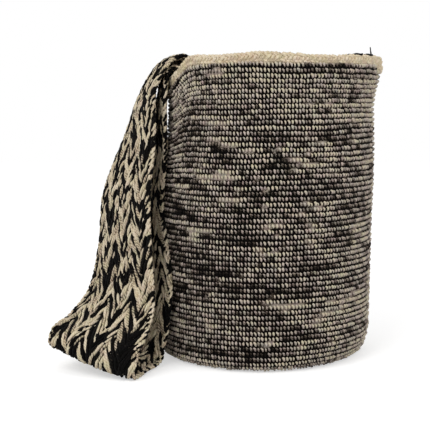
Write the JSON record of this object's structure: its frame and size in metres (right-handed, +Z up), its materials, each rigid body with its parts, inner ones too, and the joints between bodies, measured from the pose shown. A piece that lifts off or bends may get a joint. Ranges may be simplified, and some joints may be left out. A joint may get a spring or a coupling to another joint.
{
  "type": "mochila bag",
  "caption": "Crocheted bucket-shaped mochila bag standing on its round base, with a soft edging round the mouth and one wide woven strap flopped over the rim.",
  "frame": {"origin": "middle of the round base, on the floor that the bag stands on", "axes": "+Z up, +X towards the right of the front view, -Y towards the viewer of the front view"},
  "size_m": [0.3113, 0.2299, 0.2971],
  "materials": {
    "body_yarn": "matt marled black and ecru crochet yarn",
    "edging_yarn": "matt ecru crochet yarn",
    "strap_yarn": "matt black and ecru woven wool",
    "sewing_thread": "matt black thread"
  },
  "bodies": {
    "root": {"bag_body": "body_yarn", "mouth_edging": "edging_yarn", "strap": "strap_yarn", "rim_stitches": "sewing_thread", "left_end_stitches": "sewing_thread", "right_end_stitches": "sewing_thread"}
  },
  "joints": []
}
